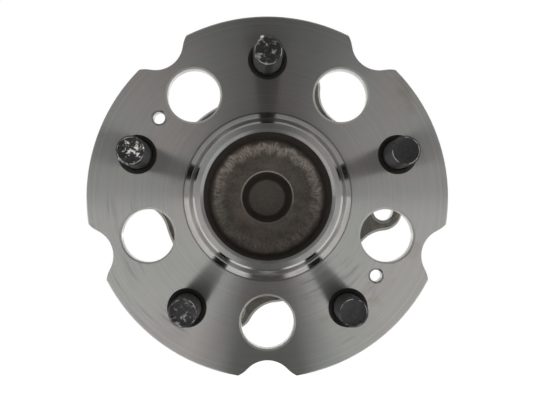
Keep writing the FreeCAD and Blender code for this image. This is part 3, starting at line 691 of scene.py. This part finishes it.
def studTree():  # sets the stud on its circle, and hammers some of the points
    kinds = {"Count": "Int", "Burr Place": "Vector", "Burr Stud": "Vector", "Finish": "Material"}
    tree, given = newTree("studs on their circle", kinds, "Circle", "First Angle", "Tip", "Dent", "Dent Size",
                          "Dent Reach", "Seed", "Burr Size", "Burr Height")
    points = addNode(tree, "GeometryNodePoints", {"Count": given["Count"]})
    index = addNode(tree, "GeometryNodeInputIndex")
    share = addNode(tree, "Math", {0: index, 1: given["Count"]}, operation="DIVIDE")
    turn = addNode(tree, "Math", {0: share, 1: 2 * math.pi, 2: given["First Angle"]},
                   operation="MULTIPLY_ADD")
    cosine, sine = [addNode(tree, "Math", {0: turn}, operation=ratio) for ratio in ("COSINE", "SINE")]
    direction = addNode(tree, "CombineXYZ", {"X": cosine, "Z": sine})
    place = addNode(tree, "VectorMath", {0: direction, "Scale": given["Circle"]}, operation="SCALE")
    placed = addNode(tree, "GeometryNodeSetPosition", {"Geometry": points, "Position": place})
    off = addNode(tree, "Math", {0: index, 1: 1.0}, operation="SUBTRACT")
    off = addNode(tree, "Math", {0: off}, operation="ABSOLUTE")
    left = addNode(tree, "Math", {0: off, 1: -0.7, 2: 1.0}, operation="MULTIPLY_ADD",
                   use_clamp=True)  # the second point was hammered, its neighbours a little
    marked = addNode(tree, "GeometryNodeStoreNamedAttribute", {0: placed, "Name": "worn", "Value": left},
                     data_type="FLOAT", domain="POINT")
    copies = addNode(tree, "GeometryNodeInstanceOnPoints", {"Points": marked, "Instance": given["Geometry"]})
    real = addNode(tree, "GeometryNodeRealizeInstances", {"Geometry": copies})
    worn = addNode(tree, "GeometryNodeInputNamedAttribute", {"Name": "worn"}, data_type="FLOAT")
    here = addNode(tree, "GeometryNodeInputPosition")
    height = addNode(tree, "SeparateXYZ", {0: here}).outputs["Y"]
    above = addNode(tree, "Math", {0: height, 1: given["Tip"]}, operation="SUBTRACT")
    nearTip = addNode(tree, "MapRange", {0: above, 1: 0.0, 2: given["Dent Reach"], 3: 1.0, 4: 0.0})
    often = addNode(tree, "Math", {0: 1.0, 1: given["Dent Size"]}, operation="DIVIDE")
    dents = addNode(tree, "TexNoise", {"Vector": here, "W": given["Seed"], "Scale": often, "Detail": 2.0},
                    noise_dimensions="4D")
    deep = addNode(tree, "MapRange", {0: dents, 1: 0.42, 2: 0.66})
    for factor in (given["Dent"], nearTip, worn):
        deep = addNode(tree, "Math", {0: deep, 1: factor}, operation="MULTIPLY")
    away = addNode(tree, "VectorMath", {0: here, 1: given["Burr Place"]}, operation="DISTANCE")
    away = away.outputs["Value"]
    burr = addNode(tree, "MapRange", {0: away, 1: 0.0, 2: given["Burr Size"], 3: 1.0, 4: 0.0}, **softStep)
    raised = addNode(tree, "Math", {0: burr, 1: given["Burr Height"]}, operation="MULTIPLY")
    off = addNode(tree, "VectorMath", {0: given["Burr Place"], 1: given["Burr Stud"]}, operation="SUBTRACT")
    lift = addNode(tree, "VectorMath", {0: fromAxis(tree, off)[2], "Scale": raised}, operation="SCALE")
    push = addNode(tree, "CombineXYZ", {"Y": deep})
    offset = addNode(tree, "VectorMath", {0: push, 1: lift}, operation="ADD")
    hit = addNode(tree, "GeometryNodeSetPosition", {"Geometry": real, "Offset": offset})
    noted = addNode(tree, "GeometryNodeStoreNamedAttribute", {0: hit, "Name": "burr", "Value": burr},
                    data_type="FLOAT", domain="POINT")
    coated = addNode(tree, "GeometryNodeSetMaterial", {"Geometry": noted, "Material": given["Finish"]})
    addNode(tree, "NodeGroupOutput", {0: coated})
    return tree


def makeStuds():
    vertices, faces = studMesh()
    piece = newPiece("wheel_studs", vertices, faces)
    closeUp(piece, 28)
    reach = [math.hypot(vertex.co.x, vertex.co.z) for vertex in piece.data.vertices]
    piece.data.attributes.new("fromAxis", "FLOAT", "POINT").data.foreach_set("value", reach)
    turn, reach = math.radians(studs["burrAngle"]), studs["radius"] - studs["burrIn"]
    centre = Vector((0.0, 0.0, studs["circle"]))
    burr = centre + Vector((reach * math.cos(turn), studs["tip"] + studs["burrDown"], reach * math.sin(turn)))
    applyTree(piece, studTree(), studs | {"burrPlace": burr, "burrStud": centre,
                                          "finish": blackPhosphate(phosphateLook)})
    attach(piece, "wheel_side")
    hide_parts(*["wheel_stud_%d" % number for number in range(1, studs["count"] + 1)])


makeStuds()
print("studs ready")


# ---- hub with its forged recess ----

recess = {
    "sides": 304,
    "mouth": (26.29, -59.1), "filletStart": (24.685, -42.077), "filletCentre": (20.205, -42.5), "fillet": 4.5,
    "floor": -38.0, "pocketMouth": 10.6, "pocketRound": 0.5, "pocketFloor": -18.0,
    "pocketCorner": ((8.1, -18.7), (7.85, -18.2), (7.3, -18.0), (0.6, -18.0)),
    "row": 0.55,              # mm between rows along the outline
    "marks": 20.0,            # flow marks that the die left, about 2 pi times this round the floor
    "markLength": 4.0 * mm, "markDepth": 0.8 * mm,
    "inside": 16.0 * mm, "inner": 19.0 * mm, "outer": 23.1 * mm, "outside": 24.3 * mm,  # marks fade
    "lumpSize": 4.5 * mm, "lumpDepth": 0.3 * mm, "lumpStart": -57.0 * mm, "lumpFull": -50.0 * mm,
    "seed": 11.0,
}


def recessOutline():  # radius and height in mm, from just inside the mouth to the middle of the pocket
    def line(start, end):
        rows = max(2, round(math.dist(start, end) / recess["row"]))
        return [(start[0] + (end[0] - start[0]) * k / rows, start[1] + (end[1] - start[1]) * k / rows)
                for k in range(1, rows + 1)]

    centre, fillet = recess["filletCentre"], recess["fillet"]
    first = math.atan2(recess["filletStart"][1] - centre[1], recess["filletStart"][0] - centre[0])
    turns = [first + (math.pi / 2 - first) * k / 12 for k in range(1, 13)]
    lip, small, floor = recess["pocketMouth"], recess["pocketRound"], recess["floor"]
    points = [recess["mouth"]] + line(recess["mouth"], recess["filletStart"])
    points += [(centre[0] + fillet * math.cos(a), centre[1] + fillet * math.sin(a)) for a in turns]
    points += line(points[-1], (lip + small, floor))
    turns = [math.pi * k / 8 for k in range(1, 5)]
    points += [(lip + small * (1 - math.sin(a)), floor + small * (1 - math.cos(a))) for a in turns]
    foot, bend, inner, middle = recess["pocketCorner"]
    points += line(points[-1], foot) + [bend, inner]
    return points + line(inner, middle)


def flowTree():  # pushes the forged floor in and out: radial marks near its edge, low lumps everywhere
    tree, given = newTree("die marks on a forged floor", {"Finish": "Material"}, "Marks", "Mark Length",
                          "Mark Depth", "Inside", "Inner", "Outer", "Outside", "Lump Size", "Lump Depth",
                          "Lump Start", "Lump Full", "Seed")
    here = addNode(tree, "GeometryNodeInputPosition")
    radius, out = fromAxis(tree, here)[1:]
    around = ringVector(tree, radius, out, given["Marks"], given["Mark Length"])
    marks = addNode(tree, "TexNoise", {"Vector": around, "W": given["Seed"], "Scale": 1.0, "Detail": 2.0},
                    noise_dimensions="4D")
    begins = addNode(tree, "MapRange", {0: radius, 1: given["Inside"], 2: given["Inner"]}, **softStep)
    ends = addNode(tree, "MapRange", {0: radius, 1: given["Outer"], 2: given["Outside"], 3: 1.0, 4: 0.0},
                   **softStep)
    often = addNode(tree, "Math", {0: 1.0, 1: given["Lump Size"]}, operation="DIVIDE")
    lumps = addNode(tree, "TexNoise", {"Vector": here, "W": given["Seed"], "Scale": often, "Detail": 4.0},
                    noise_dimensions="4D")
    height = addNode(tree, "SeparateXYZ", {0: here}).outputs["Y"]
    below = addNode(tree, "MapRange", {0: height, 1: given["Lump Start"], 2: given["Lump Full"]})
    depths = []
    for noise, *factors in ((marks, given["Mark Depth"], begins, ends), (lumps, given["Lump Depth"], below)):
        depth = addNode(tree, "Math", {0: noise, 1: 0.5}, operation="SUBTRACT")
        for factor in factors:
            depth = addNode(tree, "Math", {0: depth, 1: factor}, operation="MULTIPLY")
        depths.append(depth)
    both = addNode(tree, "Math", dict(enumerate(depths)), operation="ADD")
    normal = addNode(tree, "GeometryNodeInputNormal")
    push = addNode(tree, "VectorMath", {0: normal, "Scale": both}, operation="SCALE")
    moved = addNode(tree, "GeometryNodeSetPosition", {"Geometry": given["Geometry"], "Offset": push})
    coated = addNode(tree, "GeometryNodeSetMaterial", {"Geometry": moved, "Material": given["Finish"]})
    addNode(tree, "NodeGroupOutput", {0: coated})
    return tree


def recessMesh():
    sides = recess["sides"]
    turns = [2 * math.pi * i / sides for i in range(sides)]
    outline = recessOutline()
    vertices = [(r * mm * math.cos(a), y * mm, r * mm * math.sin(a)) for r, y in outline for a in turns]
    faces = [(row * sides + i, row * sides + (i + 1) % sides, (row + 1) * sides + (i + 1) % sides,
              (row + 1) * sides + i) for row in range(len(outline) - 1) for i in range(sides)]
    last = (len(outline) - 1) * sides
    vertices.append((0, recess["pocketFloor"] * mm, 0))
    faces += [(last + i, last + (i + 1) % sides, len(vertices) - 1) for i in range(sides)]
    piece = newPiece("forged_recess", vertices, faces)
    if piece.data.polygons[-1].normal.y > 0:
        piece.data.flip_normals()
    piece.data.shade_smooth()
    applyTree(piece, flowTree(), recess | {"finish": dieForgedPaintedLight})
    mesh = piece.data
    bpy.data.objects.remove(piece)
    return mesh


# Where one cut of the hub ends and the next begins, in mm. Holes have their circle, angles and reach.
hub = {
    "face": -46.01, "back": -35.9, "notches": (66.5, 75.2), "raceReach": 34, "pilot": (28.2, 35.4),
    "studHoles": (57.15, (90, 162, 234, 306, 378), 8.6), "screwHoles": (56.0, (144, 324), 4.3),
    "accessHoles": (52.4, (54, 126, 198, 270, 342), 12.1),
    "flat": 0.97, "sloped": 0.3,  # how much of a normal lies along the axis
    "mouth": -59.15, "recessReach": 26.3, "recessEnds": (-59.14, -17.9), "floor": -37.9, "pocketReach": 10.7,
}


def awayFrom(x, z, circle, angle):  # distances from the middle of a hole
    turn = math.radians(angle)
    return np.hypot(x - circle * math.cos(turn), z - circle * math.sin(turn))


def hubFinish(middles, normals):  # 0 turned, 1 bored, 2 ground, 3 the recess, 4 fine turned, 5 countersunk
    x, y, z = middles.T / mm
    radius, axial = np.hypot(x, z), np.abs(normals[:, 1])
    choice = np.zeros(len(middles), dtype=int)
    steep = axial < hub["flat"]
    inFlange = (y > hub["face"]) & (y < hub["back"]) & steep
    for kind in ("studHoles", "accessHoles", "screwHoles"):
        circle, angles, reach = hub[kind]
        for angle in angles:
            inHole = inFlange & (awayFrom(x, z, circle, angle) < reach)
            choice[inHole] = 1
            if kind == "accessHoles":
                choice[inHole & (axial > hub["sloped"])] = 5
    near, far = hub["notches"]
    choice[inFlange & (radius > near) & (radius < far) & (axial < hub["sloped"])] = 1
    choice[(y > hub["back"]) & (radius < hub["raceReach"])] = 2
    near, far = hub["pilot"]
    choice[(y < hub["face"]) & (radius > near) & (radius < far) & steep] = 4
    return choice


def turnOf(vertex):  # its angle round the axis
    return math.atan2(vertex.co.z, vertex.co.x) % (2 * math.pi)


def fanIn(shape, rim, grid):  # fans of triangles from each CAD point of the rim to the finer row inside it
    sides = len(grid)
    near = [round(turnOf(vertex) / (2 * math.pi) * sides) % sides for vertex in rim]
    for k, vertex in enumerate(rim):
        after = rim[(k + 1) % len(rim)]
        steps = (near[(k + 1) % len(rim)] - near[k]) % sides
        row = [grid[(near[k] + i) % sides] for i in range(steps + 1)]
        fans = [(vertex if i < steps // 2 else after, row[i], row[i + 1]) for i in range(steps)]
        for fan in fans + [(vertex, row[steps // 2], after)]:
            face = shape.faces.new(fan)
            face.normal_update()
            middle = face.calc_center_median()
            if face.normal.x * middle.x + face.normal.z * middle.z > 0:
                face.normal_flip()
            face.material_index = 3
            face.smooth = True


def makeHub():
    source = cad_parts["hub_flange"].data
    mesh = source.copy()
    corners = np.zeros(len(mesh.loops) * 3)
    source.corner_normals.foreach_get("vector", corners)
    mesh.attributes.new("cadNormal", "FLOAT_VECTOR", "CORNER").data.foreach_set("vector", corners)
    middles, normals = faceMiddles(source)
    radius, height = np.hypot(middles[:, 0], middles[:, 2]) / mm, middles[:, 1] / mm
    low, high = hub["recessEnds"]
    gone = (radius < hub["recessReach"]) & (height > low) & (height < high)
    gone &= (height < hub["floor"]) | (radius < hub["pocketReach"])
    shape = bmesh.new()
    shape.from_mesh(mesh)
    shape.faces.ensure_lookup_table()
    for face, index in zip(shape.faces, hubFinish(middles, normals)):
        face.material_index = int(index)
        face.smooth = True
    bmesh.ops.delete(shape, geom=[shape.faces[i] for i in np.flatnonzero(gone)], context="FACES")
    bmesh.ops.remove_doubles(shape, verts=shape.verts, dist=1e-7)
    rim = [vertex for vertex in shape.verts if any(len(edge.link_faces) == 1 for edge in vertex.link_edges)
           and abs(vertex.co.y - hub["mouth"] * mm) < 0.1 * mm]
    rim.sort(key=turnOf)
    print("hub's open rim:", len(rim), "points")
    own = recessMesh()
    own.polygons.foreach_set("material_index", [3] * len(own.polygons))
    shape.from_mesh(own)
    sides = recess["sides"]
    reach, mouth = recess["mouth"]
    grid = [vertex for vertex in shape.verts if abs(vertex.co.y - mouth * mm) < 1e-6
            and abs(math.hypot(vertex.co.x, vertex.co.z) - reach * mm) < 1e-6]
    grid.sort(key=lambda vertex: round(turnOf(vertex) / (2 * math.pi) * sides) % sides)
    fanIn(shape, rim, grid)
    piece = newObject("hub_with_forged_recess", mesh)
    shape.to_mesh(mesh)
    shape.free()
    bpy.data.meshes.remove(own)
    corners = np.zeros(len(mesh.loops) * 3)
    mesh.attributes["cadNormal"].data.foreach_get("vector", corners)
    mesh.attributes.remove(mesh.attributes["cadNormal"])
    mesh.normals_split_custom_set([tuple(normal) for normal in corners.reshape(-1, 3)])
    finish = np.zeros(len(mesh.polygons), dtype=np.int32)
    mesh.polygons.foreach_get("material_index", finish)
    paintFaces(piece, (turned, bored, ground, dieForgedPaintedLight, pilotTurned, chamfered), finish)
    uses = np.bincount([loop.edge_index for loop in mesh.loops], minlength=len(mesh.edges))
    print("hub:", len(mesh.polygons), "faces,", int((uses == 1).sum()), "open edges")
    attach(piece, "wheel_side")
    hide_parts("hub_flange")


makeHub()
print("hub ready")


# ---- finishes of the CAD pieces ----

# The outer ring in mm: bore, spigot and ends are turned, the holes drilled, and the rest is left as forged
outerRing = {
    "bore": 41.0, "mountFace": -0.05, "undercut": (42.2, -0.5), "front": -33.9,
    "holes": (51.86, (-6.02, 73.02, 173.98, 253.02), 5.75),
}


def ringFinish(middles, normals):  # 0 forged, 1 turned, 2 drilled
    x, y, z = middles.T / mm
    radius = np.hypot(x, z)
    reach, depth = outerRing["undercut"]
    machined = (radius < outerRing["bore"]) | (y > outerRing["mountFace"]) | (y < outerRing["front"])
    choice = (machined | ((radius < reach) & (y > depth))).astype(int)
    circle, angles, reach = outerRing["holes"]
    for angle in angles:
        choice[(awayFrom(x, z, circle, angle) < reach) & (np.abs(normals[:, 1]) < hub["flat"])] = 2
    return choice


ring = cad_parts["outer_ring"]
paintFaces(ring, [forged, ringTurned, bored], ringFinish(*faceMiddles(ring.data)))
finishes = {"inner_ring": ground, "encoder_slinger": pressed, "encoder_magnet_ring": ferriteRubber,
            "outboard_seal_case": pressed, "outboard_seal_lips": nitrile, "dust_cap": drawnCap,
            "outboard_cage": nylon, "inboard_cage": nylon}
for name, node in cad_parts.items():
    if name in finishes:
        paintWhole(node, finishes[name])
    elif "_ball_" in name:
        paintWhole(node, ground)
print("finishes ready")
